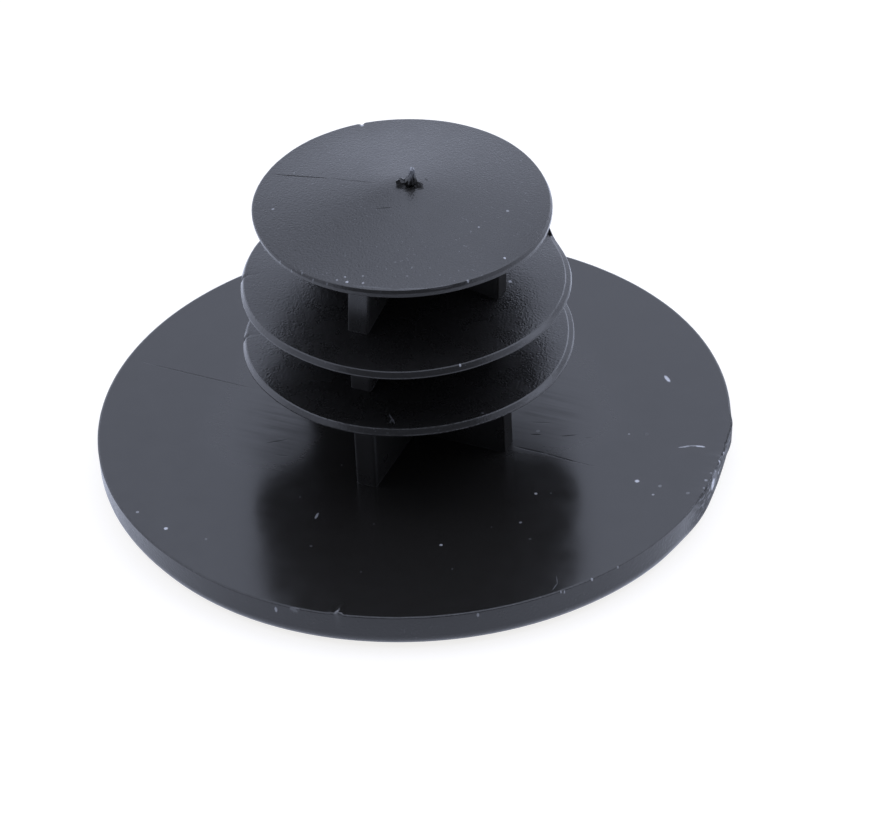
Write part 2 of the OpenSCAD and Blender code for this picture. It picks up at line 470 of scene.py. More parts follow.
class Fin:
    """Half section of one conical fin, with its rim as moulded and as worn."""

    def __init__(self, name, diameter, edge_height, fresh, worn):
        s = sizes()
        self.name = name
        self.rim_r = diameter / 2
        self.fresh, self.worn = fresh, worn
        self.face = TOP if name == "lead" else FIN
        self.edge_r = self.rim_r - fresh["crest"].x - fresh["bevel"].x
        self.edge_z = s.flange_t + edge_height
        self.slope = math.tan(s.fin_slope)
        self.land_foot = self.edge_z - fresh["crest"].y - fresh["bevel"].y - fresh["land"]
        self.axis_top = self.top(0.0)
        self.axis_under = self.axis_top - s.fin_root_t

    def top(self, radius):
        """Height of the upper side at a radius."""
        return self.edge_z + (self.edge_r - radius) * self.slope

    def under(self, radius):
        """Height of the under side at a radius."""
        return self.axis_under + (self.land_foot - self.axis_under) * radius / self.rim_r

    def profile(self, crest, bevel, land, tilt, outer_round):
        """Points from half way out on the under side round the rim to half way in on the upper side."""
        s = sizes()
        half = (s.cross_d / 2 + self.edge_r) / 2
        edge_r = self.rim_r - tilt - bevel.x - crest.x
        edge = Vector((edge_r, self.top(edge_r)))
        bevel_top = edge + Vector((crest.x, -crest.y))
        land_top = bevel_top + Vector((bevel.x, -bevel.y))
        corners = [
            Vector((half, self.under(half))), land_top + Vector((tilt, -land)), land_top, bevel_top, edge,
            Vector((half, self.top(half)))]
        radii = (s.edge_round, outer_round, CREST_FOOT_ROUND * s.edge_round, CREST_TOP_ROUND * s.edge_round)
        path = rounded(corners, radii, FIN_SUPPORT * s.edge_round, FIN_STEPS)
        inner = edge_r - FACE_BREAK
        path.insert(-1, Vector((inner, self.top(inner))))
        return path

    def add_ring(self, section, fresh, worn, face):
        """A ring on the fin, bent, worn and nicked more and more towards the rim."""
        start = sizes().cross_d / 2
        out = max(0.0, (fresh.x - start) / (self.rim_r - start)) ** 2
        near_rim = ease(fresh.x, self.edge_r - NICK_REACH, self.rim_r)
        in_sliver = fresh.x > self.rim_r - SLIVER_BAND
        fin_seed = len(self.name)
        ring_seed = len(section.rings) * FIN_SEED_STEP + fin_seed

        def between(angle):
            """Place in the half section, from moulded to worn by direction."""
            return fresh.lerp(worn, bump(angle, *WORN_SIDES[self.name]))

        def radius_at(angle):
            wear = humps(angle, FIN_NICKS[self.name]) * near_rim + humps(angle, FIN_SHRINKS[self.name]) * out
            return between(angle).x - wear + FIN_WAVER * MM * out * rim_noise(angle, FIN_GRAIN, ring_seed)

        def height_at(angle, r):
            ripple = RIPPLE_HEIGHT * MM * rim_noise(angle, RIPPLE_GRAIN, fin_seed)
            lift = humps(angle, FIN_SLIVERS[self.name]) if in_sliver else 0.0
            return between(angle).y + lift + out * (humps(angle, FIN_DROOPS[self.name]) + ripple)

        section.ring(radius_at, height_at, face)

    def add_rim(self, section):
        """Under side out to the rim, bevel, and upper side back in to just outside the ribs."""
        s = sizes()
        waist = s.cross_d / 2 + WAIST_GAP
        foot = Vector((waist, self.under(waist)))
        neck = Vector((waist, self.top(waist)))
        self.add_ring(section, foot, foot, self.face)
        for fresh, worn in zip(self.profile(**self.fresh), self.profile(**self.worn)):
            on_edge = fresh.x > self.edge_r - s.edge_round
            self.add_ring(section, fresh, worn, EDGE if on_edge else self.face)
        self.add_ring(section, neck, neck, self.face)


def all_fins():
    """The three fins, from the flange up."""
    s = sizes()
    crest = Vector((s.crest_w, s.crest_h))
    lead_crest = Vector((s.lead_crest_w, s.lead_crest_h))
    sharp = s.edge_round / 2
    grip = {
        "crest": crest, "bevel": Vector((s.grip_bevel_w, s.grip_bevel_h)),
        "land": s.grip_land_h, "tilt": 0.0, "outer_round": sharp}
    worn = {
        "crest": crest, "bevel": Vector((s.worn_bevel_w - s.worn_tilt, s.worn_bevel_h)),
        "land": s.worn_land_h, "tilt": s.worn_tilt, "outer_round": s.worn_round}
    lead = {
        "crest": lead_crest, "bevel": Vector((s.lead_bevel_w, s.lead_bevel_h)),
        "land": s.lead_land_h, "tilt": 0.0, "outer_round": sharp}
    thin = {
        "crest": lead_crest, "bevel": Vector((s.thin_bevel, s.thin_bevel)),
        "land": s.thin_land_h, "tilt": 0.0, "outer_round": sharp}
    return (
        Fin("lower", s.grip_fin_d, s.lower_fin_z, grip, worn),
        Fin("middle", s.grip_fin_d, s.middle_fin_z, grip, worn),
        Fin("lead", s.lead_fin_d, s.lead_fin_z, lead, thin))


def moulding_section():
    """All rings of the moulding, from the outer face up, and the height of the cone's top."""
    s = sizes()
    section = Section()
    add_flange(section)
    seat, face = lambda r: s.flange_t, FLANGE
    for fin in all_fins():
        add_root(section, seat, face, rising=True)
        add_root(section, fin.under, FIN, rising=False)
        fin.add_rim(section)
        seat, face = fin.top, FIN
    for part in CONE_RINGS:
        section.circle(fin.rim_r * part, fin.top(fin.rim_r * part), TOP)
    return section, fin.axis_top


def column_angles():
    """Directions of the moulding's upright columns, close together at the ribs' tips and at worn places."""
    quarter = OCTANT_DEG + tuple(90.0 - turn for turn in OCTANT_DEG[-2:0:-1])
    turns = [90.0 * number + turn for number in range(4) for turn in quarter]
    for low, high, step in FINE_COLUMNS:
        turns += [(low + step * k) % 360.0 for k in range(int((high - low) / step) + 1)]
    spread = []
    for turn in sorted(turns):
        if not spread or turn - spread[-1] > LEAST_COLUMN_DEG:
            spread.append(turn)
    return [math.radians(turn) for turn in spread]


def next_ring(mesh, edges, face=0):
    """Extrudes a ring's edges once, gives the faces a finish, and returns the new vertices and edges."""
    geometry = bmesh.ops.extrude_edge_only(mesh, edges=edges)["geom"]
    verts = [item for item in geometry if isinstance(item, bmesh.types.BMVert)]
    fresh = set(verts)
    ahead = [
        item for item in geometry if isinstance(item, bmesh.types.BMEdge) and fresh.issuperset(item.verts)]
    for item in geometry:
        if isinstance(item, bmesh.types.BMFace):
            item.material_index = face
    return verts, ahead


def loft(mesh, section, angles):
    """Draws a disc on the first ring, extrudes its edge ring by ring, and returns the last vertices."""
    verts = bmesh.ops.create_circle(mesh, cap_ends=True, segments=len(angles), radius=1.0)["verts"]
    for vert, angle in zip(verts, angles):
        vert.co = (math.cos(angle), math.sin(angle), 0.0)
    edges = list(mesh.edges)
    for number, (radius_at, height_at, face) in enumerate(section.rings):
        if number:
            verts, edges = next_ring(mesh, edges, face)
        for vert in verts:
            angle = math.atan2(vert.co.y, vert.co.x)
            radius = radius_at(angle)
            vert.co = (radius * math.cos(angle), radius * math.sin(angle), height_at(angle, radius))
    return verts


def shift_stem(mesh):
    """Moves the ribs a little off the flange's middle, as they are in the real moulding."""
    s = sizes()
    tip = s.cross_d / 2
    top = s.flange_t + s.lead_fin_z
    for vert in mesh.verts:
        if vert.co.z < s.flange_t - SLACK:
            continue
        inside = 1.0 - ease(vert.co.xy.length, tip + SHIFT_FULL_OUT, tip + SHIFT_NONE_OUT)
        low = 1.0 - ease(vert.co.z, top - SHIFT_FULL_DOWN, top - SHIFT_NONE_DOWN)
        vert.co += Vector((s.stem_x, s.stem_y, 0.0)) * inside * low


def paint_tip_shade(mesh):
    """Gives the right rib's tip painted shade: the plain plastic's darker colour and weaker reflections than
    the other ribs.
    """
    s = sizes()
    tip = s.cross_d / 2 + s.stem_x
    for face in mesh.faces:
        if face.material_index == STEM and face.calc_center_median().x > tip - s.rib_edge_r:
            face.material_index = TIP_SHADE


def new_piece(name, mesh, materials, sharp_deg):
    """Turns a finished bmesh into a smooth object with sharp edges, at the origin, that rides on the cap."""
    for face in mesh.faces:
        face.smooth = True
    for edge in mesh.edges:
        edge.smooth = edge.calc_face_angle() < math.radians(sharp_deg)
    data = bpy.data.meshes.new(name)
    mesh.to_mesh(data)
    mesh.free()
    for material in materials:
        data.materials.append(material)
    piece = bpy.data.objects.new(name, data)
    bpy.context.scene.collection.objects.link(piece)
    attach(piece, BODY)
    return piece


# Torn gate: radius of each ring, height above the cone, raggedness outwards and upwards, all in millimetres

GATE_RINGS = (
    (0.66, -0.25, 0.08, 0.00),
    (0.64, -0.03, 0.20, 0.03),
    (0.57, 0.09, 0.22, 0.07),
    (0.47, 0.14, 0.16, 0.10),
    (0.41, 0.15, 0.10, 0.06),
    (0.37, 0.24, 0.10, 0.05),
    (0.32, 0.42, 0.10, 0.04),
    (0.27, 0.62, 0.09, 0.04),
    (0.21, 0.84, 0.07, 0.05),
    (0.17, 1.04, 0.06, 0.05),
    (0.10, 1.16, 0.03, 0.03),
)
GATE_SEGMENTS = 36
GATE_FLAPS = ((205.0, 22.0, 0.19), (20.0, 14.0, 0.15), (297.0, 32.0, -0.36))
GATE_FLAP_RINGS = range(1, 5)
GATE_FLAP_SPREAD = 0.8

# Rings from this number on belong to the spike, which starts at this height, and no longer follow the cone
GATE_SPIKE_RING, GATE_SPIKE_START = 6, 0.1

# The spike leans in a direction, and stands off the foot's middle from a little above its start
GATE_LEAN_DEG, GATE_LEAN = 25.0, 0.16
GATE_SPIKE_OFFSET, GATE_OFFSET_RISE = 0.12, 0.1

# The spike turns into a blade between two heights above its start
GATE_BLADE_FROM, GATE_BLADE_FULL = 0.05, 0.4
GATE_BLADE_WIDTH, GATE_BLADE_DEPTH = 0.8, 1.25
GATE_TIP_RISE = 0.02

# Raggedness outwards and upwards: grain of the noise, its first seed, and the seed's step from ring to ring
GATE_OUT_GRAIN, GATE_OUT_SEED, GATE_OUT_STEP = 2.2, 0.0, 0.45
GATE_UP_GRAIN, GATE_UP_SEED, GATE_UP_STEP = 3.1, 7.0, 0.6

# Height above the cone where the stub's painted highlight starts, and the rise to its brightest, in
# millimetres
GATE_HIGHLIGHT_FROM, GATE_HIGHLIGHT_RISE = 0.35, 0.7


def add_gate(mesh):
    """A ragged foot with lifted flaps round a torn spike that leans over a little."""
    s = sizes()
    cone = all_fins()[-1]
    lean = Vector((math.cos(math.radians(GATE_LEAN_DEG)), math.sin(math.radians(GATE_LEAN_DEG))))
    foot = Vector((s.gate_x, s.gate_y))
    foot_z = cone.top(foot.length)
    verts = bmesh.ops.create_circle(mesh, cap_ends=True, segments=GATE_SEGMENTS, radius=1.0)["verts"]
    edges = list(mesh.edges)
    middle_before = Vector((0.0, 0.0))
    for number, (radius, height, jag_out, jag_up) in enumerate(GATE_RINGS):
        if number:
            verts, edges = next_ring(mesh, edges)
        up = max(0.0, height - GATE_SPIKE_START)
        offset = GATE_LEAN * up + GATE_SPIKE_OFFSET * ease(up, 0.0, GATE_OFFSET_RISE)
        middle = foot + lean * MM * offset
        for vert in verts:
            around = vert.co.xy - middle_before
            angle = math.atan2(around.y, around.x)
            flaps = humps(angle, GATE_FLAPS) / MM if number in GATE_FLAP_RINGS else 0.0
            ragged_out = jag_out * rim_noise(angle, GATE_OUT_GRAIN, GATE_OUT_SEED + number * GATE_OUT_STEP)
            ragged_up = jag_up * rim_noise(angle, GATE_UP_GRAIN, GATE_UP_SEED + number * GATE_UP_STEP)
            out = radius + ragged_out + GATE_FLAP_SPREAD * flaps
            rise = height + ragged_up + flaps
            place = Vector((math.cos(angle), math.sin(angle))) * out * MM
            across = lean * place.dot(lean)
            blade = across * GATE_BLADE_WIDTH + (place - across) * GATE_BLADE_DEPTH
            place = middle + place.lerp(blade, ease(up, GATE_BLADE_FROM, GATE_BLADE_FULL))
            ground = foot_z if number >= GATE_SPIKE_RING else cone.top(place.length)
            vert.co = (place.x, place.y, ground + rise * MM)
        middle_before = middle
    tip = sum((vert.co for vert in verts), Vector()) / len(verts)
    bmesh.ops.pointmerge(mesh, verts=verts, merge_co=tip + Vector((0.0, 0.0, GATE_TIP_RISE * MM)))


# Marks in the photo, each from one pixel to another, with its width in millimetres and its strength

class Mark(NamedTuple):
    """A speck, a fibre or a line on the surface that the camera sees."""

    name: str
    start: tuple
    end: tuple
    width: float
    level: float


def speck(name, x, y, width, level):
    """A round mark at one pixel."""
    return Mark(name, (x, y), (x, y), width, level)


FLANGE_DUST = (
    speck("grain by the left edge", 137.5, 512, 0.2, 0.4),
    speck("bright grain at the left", 166, 528.5, 0.25, 1.0),
    speck("faint grain at the left", 206, 539, 0.2, 0.12),
    Mark("sliver in the dark", (315.5, 518), (318, 513.5), 0.16, 0.36),
    Mark("sliver at the far right", (665.5, 376.5), (669, 381), 0.24, 0.9),
    speck("faint smear at the right", 647, 434, 0.3, 0.03),
    speck("bright grain at the right", 637, 481, 0.29, 1.0),
    speck("faint grain at the right", 660, 486, 0.24, 0.2),
    speck("small grain at the right", 653, 494.6, 0.18, 0.4),
    speck("faint grain near the rim", 688, 493, 0.26, 0.15),
    speck("grain in front", 441, 545, 0.19, 0.55),
    speck("grain right of the stem", 536, 493.6, 0.19, 0.5),
    speck("faint grain in front", 520.5, 522.4, 0.18, 0.3),
    speck("faint curl in front", 452, 569, 0.15, 0.04),
    Mark("fibre, thin end", (679, 447.6), (691, 445.8), 0.13, 0.5),
    Mark("fibre, middle", (688, 446), (699, 445.8), 0.11, 0.4),
    Mark("fibre, thick end", (696, 446), (704, 446.8), 0.15, 0.85),
    Mark("curved scratch, top", (556.5, 576), (557.5, 584), 0.07, 0.1),
    Mark("curved scratch, foot", (557.5, 583), (552.5, 590), 0.07, 0.12),
    speck("smudge by the stem", 538, 431, 0.26, 0.1),
    speck("faint grain by the stem", 341.5, 465, 0.11, 0.1),
    speck("second faint grain by the stem", 374, 474, 0.1, 0.05),
    speck("faint grain in the shadow", 374, 524, 0.11, 0.05),
    speck("smear in the shadow", 311, 546, 0.2, 0.06),
    speck("grain at the shadow's edge", 300, 497, 0.1, 0.06),
    speck("second grain in front", 361, 572, 0.12, 0.06),
    speck("third grain in front", 491.5, 527, 0.1, 0.06),
    speck("smear right of the middle", 530, 539, 0.2, 0.05),
    speck("curl at the right", 551, 493, 0.16, 0.05),
    speck("grain below the lower fin", 470, 444, 0.1, 0.08),
    speck("grain right of the middle", 629, 434, 0.16, 0.22),
    speck("scuff on the face", 706, 480.3, 0.2, 0.35),
    speck("second scuff on the face", 704, 488, 0.18, 0.22),
    speck("third scuff on the face", 711, 473, 0.16, 0.18),
)
RIM_DUST = (
    speck("grain on the left rim", 276, 609.5, 0.2, 0.38),
    speck("grain on the front rim", 478, 615, 0.17, 0.28),
    speck("scuff at the edge", 724, 453, 0.16, 0.8),
    Mark("scuff below it", (718.5, 460), (719.8, 464), 0.13, 0.7),
    speck("scuff in the middle", 715.5, 471, 0.13, 0.5),
    speck("bright scuff", 718.5, 473, 0.15, 0.8),
    Mark("long scuff", (711.5, 487), (714.5, 481.5), 0.14, 0.8),
    speck("last scuff", 710, 490, 0.12, 0.7),
    Mark("dull scuff", (713, 480), (717, 475), 0.3, 0.15),
    speck("grain on the right front edge", 592, 579, 0.17, 0.45),
    speck("faint grain on the right front edge", 618, 567, 0.14, 0.25),
    speck("first of a pair at the front edge", 561, 592, 0.12, 0.4),
    speck("second of a pair at the front edge", 564.5, 592, 0.12, 0.5),
    Mark("smear on the front edge", (290, 607.5), (299, 609), 0.12, 0.12),
)
# Dust on the fins, and a painted highlight along the top fin's front edge
FIN_DUST_AND_HIGHLIGHT = (
    Mark("hair on the lower fin", (389.5, 414.7), (394.7, 423.3), 0.12, 0.16),
    Mark("branch of that hair", (391.8, 419), (390, 423), 0.1, 0.12),
    speck("grain on the lower fin", 482.6, 413, 0.15, 0.15),
    speck("bright grain on the middle fin", 510, 281.5, 0.24, 0.8),
    speck("grain on the middle fin's rim", 460, 365, 0.16, 0.8),
    speck("grain right on the top fin", 507.7, 211, 0.18, 0.34),
    speck("grain on the top fin", 478.7, 227, 0.14, 0.35),
    speck("bright grain at the right front", 504.7, 258, 0.17, 0.75),
    speck("grain at the front edge", 468, 281, 0.15, 0.5),
    speck("faint grain at the front", 458.7, 270.7, 0.09, 0.15),
    speck("faint grain in the middle", 412, 267, 0.09, 0.12),
    speck("grain at the left front", 345, 277, 0.15, 0.3),
    speck("bright grain at the left front", 347, 282, 0.19, 0.6),
    speck("second grain there", 363, 276, 0.14, 0.25),
    speck("third grain there", 363, 283, 0.15, 0.45),
    speck("fourth grain there", 337, 280, 0.15, 0.3),
    speck("grain at the left", 273, 209, 0.17, 0.33),
    speck("ring left of the front", 345, 255.7, 0.16, 0.05),
    speck("dot behind it", 376.7, 246.7, 0.09, 0.1),
    speck("dot in front of the gate", 408, 260, 0.09, 0.12),
    speck("dot at the front", 411.7, 268, 0.1, 0.2),
    speck("second dot at the front", 430, 268, 0.09, 0.12),
    speck("third dot at the front", 420, 275, 0.09, 0.12),
    speck("fourth dot at the front", 440, 275, 0.09, 0.12),
    speck("dot at the right front", 481.7, 275, 0.09, 0.12),
    speck("fleck on the left rim", 265, 250, 0.12, 0.25),
    speck("second fleck on the left rim", 280, 262, 0.14, 0.25),
    speck("third fleck on the left rim", 291.5, 271, 0.12, 0.2),
    speck("fourth fleck on the left rim", 302, 273, 0.14, 0.2),
    speck("fifth fleck on the left rim", 313, 280, 0.12, 0.2),
    speck("sixth fleck on the left rim", 327, 284, 0.12, 0.15),
    speck("grain above the parting line", 294, 173, 0.09, 0.25),
    speck("chip at the far rim", 362, 125.5, 0.22, 0.7),
    speck("grain left of the front", 407, 276, 0.12, 0.2),
    # Painted highlight along the top fin's front edge
    Mark("painted highlight on the front edge, left", (352, 285.7), (395, 289.2), 0.12, 0.06),
    Mark("painted highlight on the front edge, middle", (395, 289.2), (430, 288.8), 0.12, 0.07),
    Mark("painted highlight on the front edge, right", (430, 288.8), (452, 285.6), 0.12, 0.06),
)
FLANGE_SCORES = (
    Mark("parting line at the left", (140, 361.5), (262, 390.6), 0.12, 0.7),
    Mark("parting line by the stem", (515, 446.5), (548, 454), 0.16, 1.0),
    Mark("parting line at the right", (545, 453.5), (578, 462.5), 0.12, 1.0),
    Mark("end of the parting line", (572, 461), (596, 466.5), 0.07, 0.6),
    Mark("scratch by the stem", (531, 434.5), (541, 434.8), 0.16, 0.9),
    Mark("faint scratch behind it", (529, 422.3), (552, 422.8), 0.1, 0.6),
    Mark("scratch at the right", (560, 436.5), (577, 435), 0.13, 0.75),
    Mark("end of that scratch", (585, 438), (591, 438), 0.1, 0.6),
    Mark("scratch left of the stem", (265, 443.5), (288, 439.5), 0.12, 0.65),
    Mark("second scratch there", (276, 455), (288, 456), 0.12, 0.6),
)
FIN_SCORES = (
    Mark("parting line on the top fin", (271, 174), (332, 178.5), 0.11, 1.0),
    Mark("its end by the gate", (326, 178), (380, 183.5), 0.08, 0.6),
    Mark("pit right of the gate", (417, 183), (420, 183.5), 0.14, 0.8),
    Mark("second pit right of the gate", (418, 189), (423, 188.5), 0.14, 0.8),
    Mark("third pit right of the gate", (425, 179), (427, 180.5), 0.12, 0.7),
    Mark("crack left of the middle", (376, 209), (392, 207.5), 0.08, 0.7),
)


def camera_axes():
    """The camera's place and its right, up and backward directions."""
    t = stage()
    back = Vector((
        math.sin(t.azimuth) * math.cos(t.elevation),
        -math.cos(t.azimuth) * math.cos(t.elevation),
        math.sin(t.elevation)))
    level_right = Vector((math.cos(t.azimuth), math.sin(t.azimuth), 0.0))
    level_up = back.cross(level_right)
    right = level_right * math.cos(t.roll) - level_up * math.sin(t.roll)
    up = level_right * math.sin(t.roll) + level_up * math.cos(t.roll)
    place = Vector((0.0, 0.0, sizes().flange_t)) + back * t.distance + right * t.aim_right + up * t.aim_up
    return place, right, up, back


def spot(surface, pixel):
    """Place on a surface, in millimetres, that the camera sees at a pixel of the photo."""
    place, right, up, back = camera_axes()
    reach = stage().lens / stage().sensor * PHOTO_WIDTH
    across = (pixel[0] - PHOTO_WIDTH / 2) / reach
    down = (pixel[1] - PHOTO_HEIGHT / 2) / reach
    hit = surface.ray_cast(place, right * across - up * down - back)[0]
    if hit is None:
        raise ValueError(f"no surface at pixel {pixel}")
    return hit / MM


# Materials

# Noise in the plastic, as grains to a millimetre: slow waves, spark texture, fine grain, gloss, and dust
WAVE_SCALE, SPARK_SCALE, GRAIN_SCALE, GLOSS_SCALE = 0.3, 8.0, 11.0, 0.8
SPECK_SCALE, CLUSTER_SCALE, WANDER_SCALE = 7.0, 0.35, 7.0
STREAK_SCALES, FLECK_SCALES = (0.2, 4.0, 1.0), (4.5, 1.7, 6.0)

# Part of each noise that makes its mask run from nought to one
SPARK_SPAN, SPECK_SPAN, CLUSTER_SPAN = (0.2, 0.8), (0.68, 0.76), (0.42, 0.62)
FLECK_SPAN, GLOSS_SPAN, STREAK_SPAN = (0.5, 0.65), (0.3, 0.7), (0.3, 0.7)

# Scuffed place at the flange's edge, on X and at both ends on Y: from outside to inside, in millimetres
SCUFF_X, SCUFF_NEAR_Y, SCUFF_FAR_Y = (16.6, 18.0), (-3.0, -1.0), (9.0, 7.0)

# Where the fins' texture gets coarser towards +X
COARSE_SPAN = (2.0, 7.0)

# Smeared places by the stem, near the axis, to its sides and behind a slanting line: from outside to inside
SMEAR_NEAR, SMEAR_SIDES, SMEAR_BEHIND, SMEAR_SLANT = (14.0, 8.0), (3.6, 6.4), (-6.5, -1.5), -0.5
LEAST_SMEAR = 0.5

# Share by which the roughness varies, what the scuffed place adds to it, and how pale the flecks there are
GLOSS_SPREAD, SCUFF_ROUGHNESS, FLECK_LEVEL = 0.15, 0.45, 0.2

# Soft edge of a mark, from outside to inside, as shares of its half size
MARK_EDGE = (1.1, 0.7)


class Nodes:
    """Short forms for making and joining a tree's nodes."""

    def __init__(self, tree):
        self.tree = tree

    def add(self, kind, inputs=None, **settings):
        """A new node with its settings, and with its inputs set or linked."""
        node = self.tree.nodes.new(kind)
        for key, value in settings.items():
            setattr(node, key, value)
        for key, value in (inputs or {}).items():
            self.put(node.inputs[key], value)
        return node

    def put(self, socket, value):
        """Sets a socket to a value, or links it to another socket."""
        if isinstance(value, bpy.types.NodeSocket):
            self.tree.links.new(value, socket)
        else:
            socket.default_value = value

    def maths(self, operation, first, second=0.0, third=0.0):
        """A number worked out from up to three numbers."""
        node = self.add("ShaderNodeMath", operation=operation)
        for socket, value in zip(node.inputs, (first, second, third)):
            self.put(socket, value)
        return node.outputs[0]

    def range(self, value, low, high, to_low=0.0, to_high=1.0, smooth=False):
        """A value taken from one range to another, and held inside it."""
        node = self.add("ShaderNodeMapRange", interpolation_type="SMOOTHSTEP" if smooth else "LINEAR")
        for socket, number in zip(node.inputs, (value, low, high, to_low, to_high)):
            self.put(socket, number)
        return node.outputs["Result"]

    def millimetres(self, scale=(1.0, 1.0, 1.0)):
        """Object coordinates in millimetres, times a scale on each axis."""
        place = self.add("ShaderNodeTexCoord").outputs["Object"]
        mapping = self.add("ShaderNodeMapping", {"Vector": place, "Scale": [c / MM for c in scale]})
        return mapping.outputs["Vector"]

    def noise(self, vector, scale, detail=2.0, roughness=0.5, output="Fac"):
        """Soft noise at a place."""
        node = self.add("ShaderNodeTexNoise", {
            "Vector": vector, "Scale": scale, "Detail": detail, "Roughness": roughness})
        return node.outputs[output]

    def vector_value(self, operation, *vectors):
        """A number worked out from vectors, such as a length or a dot product."""
        node = self.add("ShaderNodeVectorMath", dict(enumerate(vectors)), operation=operation)
        return node.outputs["Value"]

    def mix(self, factor, first, second):
        """A colour between two colours."""
        node = self.add("ShaderNodeMix", data_type="RGBA")
        for socket, value in zip((node.inputs[0], node.inputs[6], node.inputs[7]), (factor, first, second)):
            self.put(socket, value)
        return node.outputs[2]


def new_group(name, inputs, outputs):
    """A new shader group with float inputs and float outputs."""
    tree = bpy.data.node_groups.new(name, "ShaderNodeTree")
    for way, labels in (("INPUT", inputs), ("OUTPUT", outputs)):
        for label in labels:
            tree.interface.new_socket(label, in_out=way, socket_type="NodeSocketFloat")
    nodes = Nodes(tree)
    return tree, nodes, nodes.add("NodeGroupInput").outputs, nodes.add("NodeGroupOutput").inputs


def relief_group():
    """Relief of a moulded face in millimetres, and masks for its gloss, dust, smears and scuffs."""
    found = bpy.data.node_groups.get("moulded_relief")
    if found:
        return found
    tree, n, given, out = new_group(
        "moulded_relief", ("Waves", "Pits", "Grain", "Streaks", "Scuff", "Coarse"),
        ("Height", "Gloss", "Specks", "Smear", "Scuffed", "Flecks"))
    place = n.millimetres()
    apart = n.add("ShaderNodeSeparateXYZ", {0: place}).outputs

    along_edge = n.maths("MULTIPLY", n.range(apart["Y"], *SCUFF_NEAR_Y), n.range(apart["Y"], *SCUFF_FAR_Y))
    scuffed = n.maths("MULTIPLY", n.range(apart["X"], *SCUFF_X), along_edge)
    flecks = n.range(n.noise(n.millimetres(FLECK_SCALES), 1.0, detail=3.0), *FLECK_SPAN)
    n.put(out["Scuffed"], scuffed)
    n.put(out["Flecks"], n.maths("MULTIPLY", flecks, scuffed))

    lines = n.noise(n.millimetres(STREAK_SCALES), 1.0, detail=1.0)
    from_axis = n.vector_value("LENGTH", n.millimetres((1.0, 1.0, 0.0)))
    near = n.range(from_axis, *SMEAR_NEAR, smooth=True)
    sides = n.range(n.maths("ABSOLUTE", apart["X"]), *SMEAR_SIDES, smooth=True)
    slanted = n.maths("MULTIPLY_ADD", apart["X"], SMEAR_SLANT, apart["Y"])
    behind = n.range(slanted, *SMEAR_BEHIND, smooth=True)
    by_stem = n.maths("MULTIPLY", n.maths("MULTIPLY", near, sides), behind)
    n.put(out["Smear"], n.maths("MULTIPLY", n.range(lines, *STREAK_SPAN, LEAST_SMEAR, 1.0), by_stem))

    clusters = n.range(n.noise(place, CLUSTER_SCALE), *CLUSTER_SPAN)
    specks = n.range(n.noise(place, SPECK_SCALE, detail=1.0), *SPECK_SPAN)
    n.put(out["Specks"], n.maths("MULTIPLY", specks, clusters))
    n.put(out["Gloss"], n.noise(place, GLOSS_SCALE, detail=4.0, roughness=0.6))

    waves = n.maths("MULTIPLY", n.noise(place, WAVE_SCALE, detail=1.0), given["Waves"])
    rightwards = n.range(apart["X"], *COARSE_SPAN, smooth=True)
    depth = n.maths("MULTIPLY_ADD", rightwards, given["Coarse"], given["Pits"])
    depth = n.maths("MULTIPLY_ADD", scuffed, given["Scuff"], depth)
    pits = n.maths("MULTIPLY", n.range(n.noise(place, SPARK_SCALE, detail=1.0), *SPARK_SPAN), depth)
    grain = n.maths("MULTIPLY", n.noise(place, GRAIN_SCALE), given["Grain"])
    streaks = n.maths("MULTIPLY", n.maths("MULTIPLY", lines, by_stem), given["Streaks"])
    n.put(out["Height"], n.maths("ADD", n.maths("ADD", waves, pits), n.maths("ADD", grain, streaks)))
    return tree


def marks_group(name, marks, surface, shake):
    """Mask of the marks in a list, at the places where the camera sees them, with wavering outlines."""
    tree, n, _, out = new_group(name, (), ("Mask",))
    waver = Vector((shake, shake, shake))
    wander = n.noise(n.millimetres(), WANDER_SCALE, detail=1.0, output="Color")
    terms = {0: wander, 1: waver, 2: n.millimetres()}
    moved = n.add("ShaderNodeVectorMath", terms, operation="MULTIPLY_ADD").outputs[0]
    total = 0.0
    for mark in marks:
        start, end = spot(surface, mark.start), spot(surface, mark.end)
        along = end - start
        half = (along.length + mark.width) / 2
        local = n.add("ShaderNodeMapping", {
            "Vector": moved, "Location": (start + end + waver) / 2,
            "Rotation": (0.0, 0.0, math.atan2(along.y, along.x)),
            "Scale": (half, mark.width / 2, max(half, mark.width))}, vector_type="TEXTURE", label=mark.name)
        inside = n.range(n.vector_value("LENGTH", local.outputs[0]), *MARK_EDGE, 0.0, mark.level)
        total = n.maths("MAXIMUM", total, inside)
    n.put(out["Mask"], total)
    return tree


